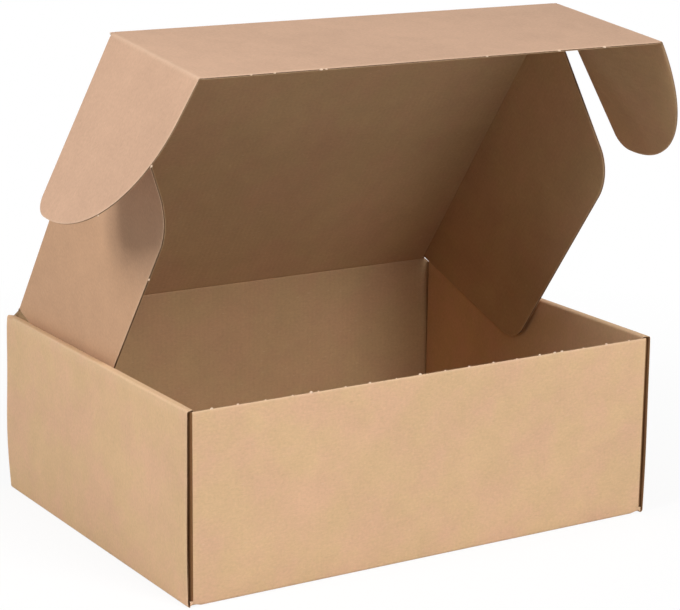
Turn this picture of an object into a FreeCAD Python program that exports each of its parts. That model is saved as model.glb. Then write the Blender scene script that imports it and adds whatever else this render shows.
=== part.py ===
import FreeCAD, Part
import math
import os

from FreeCAD import Vector

# Corrugated mailer box, folded from one die-cut blank and shown with its lid part way open.
# Millimetres. X runs along the front, Y from front to back, Z up.
# The origin is the middle of the tray's underside.

# Board and tray
board = 1.5             # thickness of the fluted board
box_width = 305.0       # over the outer side walls
box_depth = 227.0       # over the front and back walls
front_height = 107.0    # cut top edge of the front wall
side_height = 108.0     # top of the rolled side walls
layer_gap = 0.2         # air between the layers of a side wall
fold_radius = 0.85      # bend of the board's middle line at a scored fold
roll_radius = 1.1       # bend of the board's middle line where a side wall rolls over
corner_flap_length = 62.0
corner_flap_drop = 5.0  # how far a corner flap's free end is lower than its root
end_clearance = 0.5     # between an inner side wall's ends and the front and back walls
tab_length = 26.0       # locking tab of an inner side wall
tab_spacing = 118.0     # between the middles of the two tabs of one side
slot_clearance = 0.5    # around a locking tab in the floor

# Lid and its flaps
lid_clearance = 0.3     # between the shut lid and the tops of the side walls
front_clearance = 0.5   # between the shut tuck flap and the front wall
tuck_length = 100.5
dust_depth = 105.5      # dust flap, measured down from the lid's outer face
dust_front_setback = 5.0
dust_rear_setback = 2.0
dust_front_slant_angle = 18.0
dust_rear_slant_angle = 17.5
dust_front_round = 25.0
dust_rear_round = 19.0
ear_depth = 101.5       # locking ear, measured out from the tuck flap's end
ear_slant_angle = 7.5
ear_corner_round = 10.0
ear_big_round = 74.0
ear_edge_setback = 2.6
flap_clearance = 0.3    # between an ear, a dust flap and an inner side wall
score_gap = 0.12        # each panel stops this far short of its fold line
tolerance = 0.01        # for finding an edge by its place

# Fold angles, all in degrees
lid_open_angle = 54.0   # above shut
tuck_fold_angle = 60.4  # from flat, towards the tray
left_ear_angle = 62.5
right_ear_angle = 60.5
left_dust_angle = 90.2
right_dust_angle = 90.2
lid_bevel_angle = 48.0  # score of the lid at the back wall
tuck_bevel_angle = 53.0 # score of the tuck flap
ear_bevel_angle = 46.5  # score of an ear

half_width = box_width / 2
half_depth = box_depth / 2
half_board = board / 2
flap_face = half_width - board - layer_gap             # outer face of a corner flap
inner_wall_face = half_width - 3 * board - 2 * layer_gap
hinge_height = side_height + lid_clearance + board     # outer face of the shut lid
fold_outside = fold_radius + half_board
wall_end = flap_face - fold_outside                    # where a wall starts to bend into its corner flap
floor_end = half_width - fold_outside                  # where the floor starts to bend into a side wall
ear_axis = inner_wall_face - flap_clearance            # outer face of a folded ear
lid_half_width = ear_axis - board - flap_clearance     # outer face of a folded dust flap
lid_length = box_depth - board - front_clearance
big = 2 * box_width

HINGE = Vector(0, half_depth, hinge_height)
TUCK_FOLD = Vector(0, half_depth - lid_length, hinge_height)


def arc_edge(centre, start, end, mid):
    """An arc from start to end whose middle lies in the direction of mid from the centre."""
    radius = (start - centre).Length
    return Part.Arc(start, centre + mid.normalize() * radius, end).toShape()


def offset_side(points, normals, bends, shift):
    """One side of a bent board: its straight runs and arcs, shifted from the middle line."""
    edges = []
    last = points[0] + normals[0] * shift
    for (centre, first, second, turn) in bends:
        radius = (first - centre).Length
        side = radius + shift if turn < 0 else radius - shift
        start = centre + (first - centre) * (side / radius)
        end = centre + (second - centre) * (side / radius)
        edges.append(Part.LineSegment(last, start).toShape())
        edges.append(arc_edge(centre, start, end, (first - centre) + (second - centre)))
        last = end
    edges.append(Part.LineSegment(last, points[-1] + normals[-1] * shift).toShape())
    return edges


def bent_board(path, radii, normal_axis, length):
    """Board of even thickness along a path of straight runs, bent at each corner, then extruded.

    The path is the board's middle line, in a plane square to normal_axis.
    """
    directions = [(b - a).normalize() for a, b in zip(path, path[1:])]
    normals = [normal_axis.cross(d) for d in directions]
    bends = []
    for i in range(1, len(path) - 1):
        before, after = directions[i - 1], directions[i]
        turn = 1 if normal_axis.dot(before.cross(after)) > 0 else -1
        half_turn = before.getAngle(after) / 2
        reach = radii[i - 1] * math.tan(half_turn)
        first = path[i] - before * reach
        centre = first + normals[i - 1] * (radii[i - 1] * turn)
        bends.append((centre, first, path[i] + after * reach, turn))
    left = offset_side(path, normals, bends, half_board)
    right = offset_side(path, normals, bends, -half_board)
    cap_end = Part.LineSegment(path[-1] + normals[-1] * half_board, path[-1] - normals[-1] * half_board)
    cap_start = Part.LineSegment(path[0] - normals[0] * half_board, path[0] + normals[0] * half_board)
    wire = Part.Wire(Part.__sortEdges__(left + right + [cap_end.toShape(), cap_start.toShape()]))
    return Part.Face(wire).extrude(normal_axis * length)


def block(x0, x1, y0, y1, z0, z1):
    return Part.makeBox(x1 - x0, y1 - y0, z1 - z0, Vector(x0, y0, z0))


def mirrored(shape):
    return shape.mirror(Vector(0, 0, 0), Vector(1, 0, 0))


def rounded_outline(corners, rounds):
    """Closed wire through the corners, each rounded by its radius (0 leaves it sharp)."""
    edges = []
    starts, ends, arcs = [], [], []
    count = len(corners)
    for i in range(count):
        corner = corners[i]
        to_last = (corners[i - 1] - corner).normalize()
        to_next = (corners[(i + 1) % count] - corner).normalize()
        half_angle = to_last.getAngle(to_next) / 2
        reach = rounds[i] / math.tan(half_angle)
        starts.append(corner + to_last * reach)
        ends.append(corner + to_next * reach)
        if rounds[i] > 0:
            inward = (to_last + to_next).normalize()
            middle = corner + inward * (rounds[i] / math.sin(half_angle) - rounds[i])
            arcs.append(Part.Arc(starts[i], middle, ends[i]).toShape())
        else:
            arcs.append(None)
    for i in range(count):
        if arcs[i]:
            edges.append(arcs[i])
        edges.append(Part.LineSegment(ends[i], starts[(i + 1) % count]).toShape())
    return Part.Wire(edges)


def make_walls():
    """Floor with the front and back walls, one strip of board bent up at two scores."""
    middle = half_depth - half_board
    path = [
        Vector(-floor_end, -middle, front_height),
        Vector(-floor_end, -middle, half_board),
        Vector(-floor_end, middle, half_board),
        Vector(-floor_end, middle, hinge_height),
    ]
    strip = bent_board(path, [fold_radius] * 2, Vector(1, 0, 0), 2 * floor_end)
    # A wall's ends stop where its corner flaps start to bend.
    relief = 2 * board
    for side in (-1, 1):
        for y in (-half_depth, half_depth - board):
            end = block(wall_end, big, y - layer_gap, y + board + layer_gap, relief, big)
            strip = strip.cut(end if side > 0 else mirrored(end))
    return strip.cut(hinge_bevel())


def hinge_bevel():
    """What the lid's score takes off the top of the back wall."""
    rise = board * math.tan(math.radians(lid_bevel_angle))
    outer = HINGE - Vector(0, 0, score_gap)
    slope = Vector(0, -board, -rise)
    profile = [
        outer + slope * -1,
        outer + slope * 2,
        outer + slope * 2 + Vector(0, 0, 6 * board),
        outer + slope * -1 + Vector(0, 0, 6 * board),
    ]
    wire = Part.makePolygon(profile + [profile[0]])
    cut = Part.Face(wire).extrude(Vector(big, 0, 0))
    cut.translate(Vector(-half_width * 2, 0, 0))
    return cut


def make_corner_flap(front):
    """Right-hand corner flap, bent from a wall's end and trapped inside the side wall."""
    side = -1 if front else 1
    middle_y = side * (half_depth - half_board)
    far_y = side * (half_depth - corner_flap_length)
    middle_x = flap_face - half_board
    low = 2 * board
    high = side_height - board - 2 * layer_gap
    path = [
        Vector(wall_end - board, middle_y, low),
        Vector(middle_x, middle_y, low),
        Vector(middle_x, far_y, low),
    ]
    if not front:
        path.reverse()
    flap = bent_board(path, [fold_radius], Vector(0, 0, 1), high - low)
    # The free end is lower, so that it slides in under the rolled top.
    near_y = side * (half_depth - 3 * board)
    taper = Part.makePolygon([
        Vector(0, near_y, high),
        Vector(0, far_y - side * board, high - corner_flap_drop),
        Vector(0, far_y - side * board, big),
        Vector(0, near_y, big),
        Vector(0, near_y, high),
    ])
    return flap.cut(Part.Face(taper).extrude(Vector(big, 0, 0)))


def make_side_wall():
    """Right side wall: up from the floor, rolled over the top and down again inside."""
    outer_x = half_width - half_board
    inner_x = inner_wall_face + half_board
    top = side_height - half_board
    path = [
        Vector(floor_end - board, -half_depth, half_board),
        Vector(outer_x, -half_depth, half_board),
        Vector(outer_x, -half_depth, top),
        Vector(inner_x, -half_depth, top),
        Vector(inner_x, -half_depth, board + layer_gap),
    ]
    wall = bent_board(path, [fold_radius, roll_radius, roll_radius], Vector(0, 1, 0), box_depth)
    # The rolled part is shorter than the outer wall, so that it clears the front and back walls.
    inside = half_width - board
    reach = half_depth - board - end_clearance
    for y0, y1 in ((-half_depth - board, -reach), (reach, half_depth + board)):
        wall = wall.cut(block(inner_wall_face - board, inside, y0, y1, 2 * board, side_height + board))
    return wall.fuse([make_tab(side * tab_spacing / 2) for side in (-1, 1)])


def make_tab(y):
    """Locking tab under the right inner wall, standing in its slot in the floor."""
    half = tab_length / 2
    low = layer_gap
    high = 2 * board + layer_gap
    corners = [
        Vector(inner_wall_face, y - half, high),
        Vector(inner_wall_face, y - half, low),
        Vector(inner_wall_face, y + half, low),
        Vector(inner_wall_face, y + half, high),
    ]
    rounds = [0, half_board, half_board, 0]
    return Part.Face(rounded_outline(corners, rounds)).extrude(Vector(board, 0, 0))


def make_slot(y):
    """The slot that a right-hand locking tab stands in."""
    half = tab_length / 2 + slot_clearance
    x0 = inner_wall_face - slot_clearance
    x1 = inner_wall_face + board + layer_gap
    return block(x0, x1, y - half, y + half, -board, board + layer_gap / 2)


def make_tray():
    walls = make_walls()
    for side in (-1, 1):
        slot = make_slot(side * tab_spacing / 2)
        walls = walls.cut([slot, mirrored(slot)])
    right = [make_side_wall(), make_corner_flap(True), make_corner_flap(False)]
    tray = walls.fuse(right + [mirrored(piece) for piece in right])
    return tray.removeSplitter()


def turned(shape, centre, axis, angle):
    result = shape.copy()
    result.rotate(centre, axis, angle)
    return result


def open_lid(shape):
    """Moves a piece that was drawn on the shut lid to where the open lid carries it."""
    return turned(shape, HINGE, Vector(1, 0, 0), -lid_open_angle)


def make_lid():
    """Lid panel, drawn shut: scored at both ends, its sides rounded over to the dust flaps."""
    back = board * math.tan(math.radians(lid_bevel_angle))
    front = board * math.tan(math.radians(tuck_bevel_angle))
    y0 = half_depth - score_gap
    y1 = half_depth - lid_length + score_gap
    low = hinge_height - board
    profile = [
        Vector(-lid_half_width, y0, hinge_height),
        Vector(-lid_half_width, y1, hinge_height),
        Vector(-lid_half_width, y1 + front, low),
        Vector(-lid_half_width, y0 - back, low),
    ]
    panel = Part.Face(Part.makePolygon(profile + [profile[0]])).extrude(Vector(2 * lid_half_width, 0, 0))
    top_sides = []
    for edge in panel.Edges:
        middle = edge.CenterOfMass
        at_side = abs(abs(middle.x) - lid_half_width) < tolerance
        if at_side and abs(middle.z - hinge_height) < tolerance:
            top_sides.append(edge)
    return open_lid(panel.makeFillet(board - score_gap, top_sides))


def make_dust_flap(side, fold):
    """Dust flap, drawn square to the shut lid below its side, then folded to its own angle."""
    x = lid_half_width
    root = hinge_height - board - 2 * score_gap
    tip = hinge_height - dust_depth
    drop = root - tip
    front = half_depth - lid_length + dust_front_setback
    rear = half_depth - dust_rear_setback
    corners = [
        Vector(x, rear, root),
        Vector(x, rear - drop * math.tan(math.radians(dust_rear_slant_angle)), tip),
        Vector(x, front + drop * math.tan(math.radians(dust_front_slant_angle)), tip),
        Vector(x, front, root),
    ]
    rounds = [0, dust_rear_round, dust_front_round, 0]
    flap = Part.Face(rounded_outline(corners, rounds)).extrude(Vector(-board, 0, 0))
    axis_point = Vector(x - board, 0, hinge_height - board)
    flap = turned(flap, axis_point, Vector(0, 1, 0), fold - 90)
    return open_lid(flap if side > 0 else mirrored(flap))


def fold_tuck(shape):
    """Folds what was drawn flat in front of the shut lid, and opens it with the lid."""
    return open_lid(turned(shape, TUCK_FOLD, Vector(1, 0, 0), tuck_fold_angle))


def make_tuck_flap():
    """Tuck flap, drawn flat in front of the lid: scored to the lid and to the two ears."""
    top = hinge_height
    low = top - board
    back = TUCK_FOLD.y - score_gap
    score = board * math.tan(math.radians(tuck_bevel_angle))
    front = TUCK_FOLD.y - tuck_length
    half = ear_axis - score_gap
    corners = [
        Vector(-half, back, low),
        Vector(half, back, low),
        Vector(half, front, low),
        Vector(-half, front, low),
    ]
    panel = Part.Face(Part.makePolygon(corners + [corners[0]])).extrude(Vector(0, 0, board))
    lid_score = Part.makePolygon([
        Vector(-big, back, top),
        Vector(-big, back + board, low - board),
        Vector(-big, back - 2 * score, low - board),
        Vector(-big, back, top),
    ])
    panel = panel.cut(Part.Face(lid_score).extrude(Vector(2 * big, 0, 0)))
    ear_score = board * math.tan(math.radians(ear_bevel_angle))
    for side in (-1, 1):
        wedge = Part.makePolygon([
            Vector(side * half, -big, top),
            Vector(side * (half + board), -big, low - board),
            Vector(side * (half - 2 * ear_score), -big, low - board),
            Vector(side * half, -big, top),
        ])
        panel = panel.cut(Part.Face(wedge).extrude(Vector(0, 2 * big, 0)))
    return fold_tuck(panel)


def make_ear(side, fold):
    """Locking ear, drawn flat beyond the tuck flap's end, then folded to its own angle."""
    top = hinge_height
    low = top - board
    start = ear_axis + score_gap
    end = ear_axis + ear_depth
    root = TUCK_FOLD.y - ear_edge_setback
    shoulder = root - ear_depth * math.tan(math.radians(ear_slant_angle))
    front = TUCK_FOLD.y - tuck_length
    corners = [
        Vector(start, root, low),
        Vector(end, shoulder, low),
        Vector(end, front, low),
        Vector(start, front, low),
    ]
    rounds = [0, ear_corner_round, ear_big_round, 0]
    panel = Part.Face(rounded_outline(corners, rounds)).extrude(Vector(0, 0, board))
    score = board * math.tan(math.radians(ear_bevel_angle))
    wedge = Part.makePolygon([
        Vector(start, -big, top),
        Vector(start - board, -big, low - board),
        Vector(start + 2 * score, -big, low - board),
        Vector(start, -big, top),
    ])
    panel = panel.cut(Part.Face(wedge).extrude(Vector(0, 2 * big, 0)))
    panel = turned(panel, Vector(ear_axis, 0, hinge_height), Vector(0, 1, 0), fold)
    return fold_tuck(panel if side > 0 else mirrored(panel))


nodes = {
    "tray": make_tray(),
    "lid": make_lid(),
    "left_dust_flap": make_dust_flap(-1, left_dust_angle),
    "right_dust_flap": make_dust_flap(1, right_dust_angle),
    "tuck_flap": make_tuck_flap(),
    "left_ear": make_ear(-1, left_ear_angle),
    "right_ear": make_ear(1, right_ear_angle),
}

os.makedirs("parts", exist_ok=True)
for name, shape in nodes.items():
    solids = shape.Solids
    print(name, "solids", len(solids), "valid", shape.isValid(), "volume", round(shape.Volume))
    (solids[0] if len(solids) == 1 else shape).exportStep("parts/" + name + ".step")
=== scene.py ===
import math

import bmesh
import bpy
import numpy as np
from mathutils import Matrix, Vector
from mathutils.geometry import delaunay_2d_cdt


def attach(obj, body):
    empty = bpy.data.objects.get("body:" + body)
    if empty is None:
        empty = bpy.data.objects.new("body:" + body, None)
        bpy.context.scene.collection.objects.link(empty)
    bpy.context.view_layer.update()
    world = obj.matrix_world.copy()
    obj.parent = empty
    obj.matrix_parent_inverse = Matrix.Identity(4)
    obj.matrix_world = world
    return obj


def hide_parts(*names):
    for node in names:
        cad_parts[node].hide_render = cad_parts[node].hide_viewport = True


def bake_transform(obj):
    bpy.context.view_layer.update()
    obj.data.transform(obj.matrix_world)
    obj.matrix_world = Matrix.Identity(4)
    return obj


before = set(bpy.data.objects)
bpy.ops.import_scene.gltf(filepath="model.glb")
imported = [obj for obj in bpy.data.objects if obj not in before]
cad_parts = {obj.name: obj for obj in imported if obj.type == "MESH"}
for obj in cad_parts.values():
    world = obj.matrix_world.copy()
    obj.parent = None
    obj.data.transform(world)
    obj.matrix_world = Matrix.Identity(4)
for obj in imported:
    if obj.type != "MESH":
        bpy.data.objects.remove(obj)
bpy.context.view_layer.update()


# Camera
# Stands to the front left and a little above the box, as the photographer's did.

camera_data = bpy.data.cameras.new("studio_camera")
camera_data.sensor_width = 36.0
camera_data.lens = 120.93
camera_data.clip_start = 0.05
camera = bpy.data.objects.new("studio_camera", camera_data)
camera.location = (-0.67959, -1.10807, 0.44997)
camera.rotation_euler = [math.radians(angle) for angle in (75.7736, -0.6304, -31.7418)]
bpy.context.scene.collection.objects.link(camera)
bpy.context.scene.camera = camera
bpy.context.scene.view_settings.view_transform = "Standard"


# Studio
# A white sweep of paper under the box, a softbox close by on the left, a large one high in
# front, a low one beside it, a weak one on the right and an even, weak white room.

def add_softbox(name, place, size, power):
    """A square white lamp, aimed at the middle of the box."""
    lamp = bpy.data.lights.new(name, "AREA")
    lamp.size = size
    lamp.energy = power
    softbox = bpy.data.objects.new(name, lamp)
    softbox.location = place
    aim = Vector((0, 0, 0.13)) - Vector(place)
    softbox.rotation_euler = aim.to_track_quat("-Z", "Y").to_euler()
    bpy.context.scene.collection.objects.link(softbox)


add_softbox("left_softbox", (-1.16, -0.21, 0.88), 0.55, 11.2)
add_softbox("front_softbox", (0.328, -1.863, 1.608), 0.9, 30.0)
add_softbox("low_softbox", (0.789, -2.168, 0.792), 0.9, 7.0)
add_softbox("right_softbox", (1.35, 0.35, 1.0), 0.7, 3.0)

world = bpy.data.worlds.new("studio_room")
world.use_nodes = True
room = world.node_tree.nodes["Background"]
room.inputs["Color"].default_value = (1.0, 1.0, 1.0, 1.0)
room.inputs["Strength"].default_value = 0.24
bpy.context.scene.world = world


def add_node(tree, kind, place, **settings):
    node = tree.nodes.new(kind)
    node.location = place
    for key, value in settings.items():
        setattr(node, key, value)
    return node


def wire(tree, *wires):
    """Each wire is given as a node, its output, the next node and its input."""
    for source, output, target, entry in wires:
        tree.links.new(source.outputs[output], target.inputs[entry])


def seen_directly(tree, x, y):
    """A node that is 1 where the camera sees a surface, mirrored or through glass too, and else 0."""
    path = add_node(tree, "ShaderNodeLightPath", (x, y))
    seen = add_node(tree, "ShaderNodeMath", (x + 200, y), operation="MAXIMUM")
    seen_through = add_node(tree, "ShaderNodeMath", (x + 400, y), operation="MAXIMUM")
    wire(tree, (path, "Is Camera Ray", seen, 0), (path, "Is Glossy Ray", seen, 1),
         (seen, 0, seen_through, 0), (path, "Is Transmission Ray", seen_through, 1))
    return seen_through


# The room shows pure white behind the box; its light on the box stays as it is.
room_tree = world.node_tree
seen = seen_directly(room_tree, -600, 200)
backdrop = add_node(room_tree, "ShaderNodeBackground", (0, -120))
backdrop.inputs["Color"].default_value = (1.0, 1.0, 1.0, 1.0)
room_mix = add_node(room_tree, "ShaderNodeMixShader", (250, 0))
wire(room_tree, (seen, 0, room_mix, "Fac"), (room, 0, room_mix, 1), (backdrop, 0, room_mix, 2),
     (room_mix, 0, room_tree.nodes["World Output"], "Surface"))

floor_paper = bpy.data.materials.new("white_sweep")
floor_paper.use_nodes = True
tree = floor_paper.node_tree
paper = tree.nodes["Principled BSDF"]
paper.inputs["Roughness"].default_value = 0.9
paper.inputs["Specular IOR Level"].default_value = 0.1
seen = seen_directly(tree, -900, 300)
spot = add_node(tree, "ShaderNodeTexCoord", (-900, 600))
reach = add_node(tree, "ShaderNodeVectorMath", (-700, 600), operation="LENGTH")
edge = add_node(tree, "ShaderNodeMapRange", (-500, 600))
for socket, value in (("From Min", 0.2), ("From Max", 0.6), ("To Min", 0.88), ("To Max", 1.0)):
    edge.inputs[socket].default_value = value
share = add_node(tree, "ShaderNodeMath", (-250, 400), operation="MULTIPLY")
shade = add_node(tree, "ShaderNodeMix", (-250, 150), data_type="RGBA")
shade.inputs[6].default_value = (0.62, 0.62, 0.62, 1.0)
shade.inputs[7].default_value = (0.96, 0.96, 0.96, 1.0)
white = add_node(tree, "ShaderNodeEmission", (0, 420))
white.inputs["Color"].default_value = (1.0, 1.0, 1.0, 1.0)
blend = add_node(tree, "ShaderNodeMixShader", (350, 300))
wire(tree, (spot, "Object", reach, 0), (reach, "Value", edge, "Value"), (seen, 0, share, 0),
     (edge, 0, share, 1), (seen, 0, shade, 0), (shade, 2, paper, "Base Color"), (share, 0, blend, "Fac"),
     (paper, 0, blend, 1), (white, 0, blend, 2), (blend, 0, tree.nodes["Material Output"], "Surface"))

floor_mesh = bpy.data.meshes.new("studio_floor")
floor_mesh.from_pydata([(-6, -6, 0), (6, -6, 0), (6, 6, 0), (-6, 6, 0)], [], [(0, 1, 2, 3)])
floor_mesh.materials.append(floor_paper)
studio_floor = bpy.data.objects.new("studio_floor", floor_mesh)
bpy.context.scene.collection.objects.link(studio_floor)


# Kraft board
# Brown E-flute board: two kraft liners glued to a waved middle paper. The liners are
# pressed from long fibres, so they are clouded and flecked, and the waves show faintly
# through them as fine ridges along the blank.

flute_pitch = 3.3
kraft = bpy.data.node_groups.new("kraft_fibres", "ShaderNodeTree")


def add_sockets(tree, way, kind, *names):
    """Adds a group's inputs or outputs of one kind."""
    for name in names:
        tree.interface.new_socket(name, in_out=way, socket_type="NodeSocket" + kind)


add_sockets(kraft, "INPUT", "Vector", "Blank")
add_sockets(kraft, "INPUT", "Color", "Paper", "Warm", "Rubbed_And_Highlit")
add_sockets(kraft, "INPUT", "Float", "Rim", "Clouding", "Ridges", "Lid_End_Tint_And_Shade")
add_sockets(kraft, "OUTPUT", "Color", "Color")
add_sockets(kraft, "OUTPUT", "Float", "Roughness", "Height")
given = add_node(kraft, "NodeGroupInput", (-1800, 0))
result = add_node(kraft, "NodeGroupOutput", (1600, 0))


def feed(socket, value):
    """Sets a socket to a value, or joins it to another node's output."""
    if isinstance(value, (int, float, tuple)):
        socket.default_value = value
    else:
        kraft.links.new(value, socket)


def scaled(vector, x, y, z, place):
    node = add_node(kraft, "ShaderNodeVectorMath", place, operation="MULTIPLY")
    feed(node.inputs[0], vector)
    feed(node.inputs[1], (x, y, z))
    return node.outputs[0]


def noise(vector, scale, detail, roughness, place, distortion=0.0):
    node = add_node(kraft, "ShaderNodeTexNoise", place)
    for name, value in (("Vector", vector), ("Scale", scale), ("Detail", detail), ("Roughness", roughness),
                        ("Distortion", distortion)):
        feed(node.inputs[name], value)
    return node.outputs["Fac"]


def ranged(value, low, high, to_low, to_high, place):
    node = add_node(kraft, "ShaderNodeMapRange", place)
    for name, value in (("Value", value), ("From Min", low), ("From Max", high), ("To Min", to_low),
                        ("To Max", to_high)):
        feed(node.inputs[name], value)
    return node.outputs["Result"]


def mathed(operation, first, second, place):
    node = add_node(kraft, "ShaderNodeMath", place, operation=operation)
    feed(node.inputs[0], first)
    feed(node.inputs[1], second)
    return node.outputs[0]


def swung(value, amount, x, y):
    """A pattern between 0 and 1 as a change up and down around 0."""
    return mathed("MULTIPLY", mathed("SUBTRACT", value, 0.5, (x, y)), amount, (x + 200, y))


def mixed(factor, first, second, place, blend_type="MIX"):
    node = add_node(kraft, "ShaderNodeMix", place, data_type="RGBA", blend_type=blend_type)
    feed(node.inputs[0], factor)
    feed(node.inputs[6], first)
    feed(node.inputs[7], second)
    return node.outputs[2]


blank = given.outputs["Blank"]
cloud = noise(blank, 55.0, 6.0, 0.62, (-1400, 500), 0.4)
drift = noise(blank, 11.0, 3.0, 0.5, (-1400, 250))
warmth = noise(scaled(blank, 1.0, 1.0, 7.0, (-1600, 0)), 30.0, 4.0, 0.6, (-1400, 0))
streaks = noise(scaled(blank, 260.0, 1500.0, 50.0, (-1600, -250)), 1.0, 4.0, 0.65, (-1400, -250), 0.6)
felt = noise(scaled(blank, 1300.0, 2100.0, 60.0, (-1600, -500)), 1.0, 3.0, 0.7, (-1400, -500), 0.8)
grain = noise(blank, 620.0, 3.0, 0.6, (-1400, -1500))

# Scattered flecks: cells of the sheet, of which a few are picked to be dark and a few pale.
flecks = add_node(kraft, "ShaderNodeTexVoronoi", (-1400, -750), feature="F1")
feed(flecks.inputs["Vector"], scaled(blank, 190.0, 520.0, 90.0, (-1600, -750)))
flecks.inputs["Scale"].default_value = 1.0
fleck_pick = add_node(kraft, "ShaderNodeSeparateColor", (-1200, -850))
feed(fleck_pick.inputs[0], flecks.outputs["Color"])
fleck_reach = flecks.outputs["Distance"]
dark_fleck = mathed("MULTIPLY", ranged(fleck_reach, 0.10, 0.26, 1.0, 0.0, (-1000, -750)),
                    ranged(fleck_pick.outputs[0], 0.86, 0.93, 0.0, 1.0, (-1000, -950)), (-800, -800))
pale_fleck = mathed("MULTIPLY", ranged(fleck_reach, 0.08, 0.24, 1.0, 0.0, (-1000, -1150)),
                    ranged(fleck_pick.outputs[1], 0.84, 0.92, 0.0, 1.0, (-1000, -1350)), (-800, -1200))

# The waves' ridges, side by side across the blank.
split = add_node(kraft, "ShaderNodeSeparateXYZ", (-1600, 800))
feed(split.inputs[0], blank)
wave_angle = mathed("MULTIPLY", split.outputs[0], 2000.0 * math.pi / flute_pitch, (-1400, 800))
wave = mathed("SINE", wave_angle, 0.0, (-1200, 800))
ridge = mathed("MULTIPLY", wave, given.outputs["Ridges"], (-1000, 800))

# The brightness, from all of these together.
cloud_part = swung(cloud, given.outputs["Clouding"], -1200, 500)
cloudy = mathed("ADD", cloud_part, swung(drift, 0.16, -1200, 250), (-700, 400))
streaky = mathed("ADD", swung(streaks, 0.22, -1200, -250), swung(grain, 0.24, -1200, -1500), (-850, -400))
streaky = mathed("ADD", streaky, swung(felt, 0.10, -1200, -500), (-700, -300))
patterned = mathed("ADD", cloudy, streaky, (-500, 100))
patterned = mathed("ADD", patterned, mathed("MULTIPLY", ridge, 0.022, (-700, 800)), (-300, 200))
brightness = mathed("ADD", patterned, 1.0, (-100, 200))
shade = add_node(kraft, "ShaderNodeCombineColor", (100, 300))
for channel in range(3):
    feed(shade.inputs[channel], brightness)

# The colour: the paper drifts to a warmer tone in places, and towards the lid's end of the
# blank to a darker, redder and then a pinker one. The darker red is partly the paper's own
# tone and partly painted shade for the lid and its dust flaps.
warm_share = ranged(warmth, 0.42, 0.62, 0.0, 0.8, (-700, 0))
tone = mixed(warm_share, given.outputs["Paper"], given.outputs["Warm"], (-300, -100))
lid_end_tint_and_shade = given.outputs["Lid_End_Tint_And_Shade"]
along = split.outputs[1]
red_and_shade_share = mathed("MULTIPLY", ranged(along, 0.36, 0.46, 0.0, 1.0, (-300, -250)), lid_end_tint_and_shade, (-100, -250))
pink_share = mathed("MULTIPLY", ranged(along, 0.56, 0.67, 0.0, 1.0, (-300, -450)), lid_end_tint_and_shade, (-100, -450))
reddened_and_shaded = mixed(red_and_shade_share, tone, (0.555, 0.334, 0.202, 1.0), (0, -100))
blushed = mixed(pink_share, reddened_and_shaded, (0.580, 0.370, 0.252, 1.0), (150, -100))
toned = mixed(1.0, blushed, shade.outputs[0], (300, 100), "MULTIPLY")
dark_share = mathed("MULTIPLY", dark_fleck, 0.10, (-500, -800))
pale_share = mathed("MULTIPLY", pale_fleck, 0.14, (-500, -1200))
flecked = mixed(dark_share, toned, (0.20, 0.115, 0.06, 1.0), (500, 0))
flecked = mixed(pale_share, flecked, (0.80, 0.66, 0.48, 1.0), (700, 0))
# Pale rims: rubbed paper at the cut edges, and along scores partly rubbed paper, partly a painted highlight
# of the bent crease.
rim_share = mathed("MULTIPLY", given.outputs["Rim"], 0.25, (700, -300))
feed(result.inputs["Color"], mixed(rim_share, flecked, given.outputs["Rubbed_And_Highlit"], (1000, 0)))
feed(result.inputs["Roughness"], ranged(streaks, 0.2, 0.8, 0.70, 0.90, (1000, -300)))
relief = mathed("ADD", mathed("MULTIPLY", ridge, 0.9, (700, 700)),
                mathed("MULTIPLY", streaks, 0.75, (700, 550)), (900, 600))
relief = mathed("ADD", relief, mathed("MULTIPLY", cloud, 1.1, (700, 400)), (1100, 500))
feed(result.inputs["Height"], relief)


def kraft_material(name, paper_colour, warm_colour, rubbed_and_highlit_colour, clouding, ridges, relief, lid_end_tint_and_shade):
    """Uncoated kraft paper, patterned on the flat blank so that it runs on over every fold."""
    material = bpy.data.materials.new(name)
    material.use_nodes = True
    tree = material.node_tree
    shader = tree.nodes["Principled BSDF"]
    place = add_node(tree, "ShaderNodeAttribute", (-900, 100), attribute_name="blank")
    rim = add_node(tree, "ShaderNodeAttribute", (-900, -150), attribute_name="rim")
    fibres = add_node(tree, "ShaderNodeGroup", (-600, 0), node_tree=kraft)
    for name, value in (("Paper", (*paper_colour, 1.0)), ("Warm", (*warm_colour, 1.0)),
                        ("Rubbed_And_Highlit", (*rubbed_and_highlit_colour, 1.0)), ("Clouding", clouding), ("Ridges", ridges),
                        ("Lid_End_Tint_And_Shade", lid_end_tint_and_shade)):
        fibres.inputs[name].default_value = value
    bump = add_node(tree, "ShaderNodeBump", (-300, -250))
    bump.inputs["Strength"].default_value = relief
    bump.inputs["Distance"].default_value = 0.00006
    wire(tree, (place, "Vector", fibres, "Blank"), (rim, "Fac", fibres, "Rim"),
         (fibres, "Height", bump, "Height"), (fibres, "Color", shader, "Base Color"),
         (fibres, "Roughness", shader, "Roughness"), (bump, "Normal", shader, "Normal"))
    shader.inputs["Specular IOR Level"].default_value = 0.10
    shader.inputs["Sheen Weight"].default_value = 0.02
    shader.inputs["Sheen Roughness"].default_value = 0.6
    return material


liner_paper = kraft_material("kraft_liner", (0.680, 0.455, 0.260), (0.695, 0.430, 0.276),
                             (0.84, 0.64, 0.46), 0.20, 0.10, 0.5, 1.0)
inner_paper = kraft_material("kraft_inner_liner", (0.505, 0.332, 0.178), (0.515, 0.312, 0.178),
                             (0.66, 0.47, 0.31), 0.20, 0.35, 0.5, 0.0)
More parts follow.
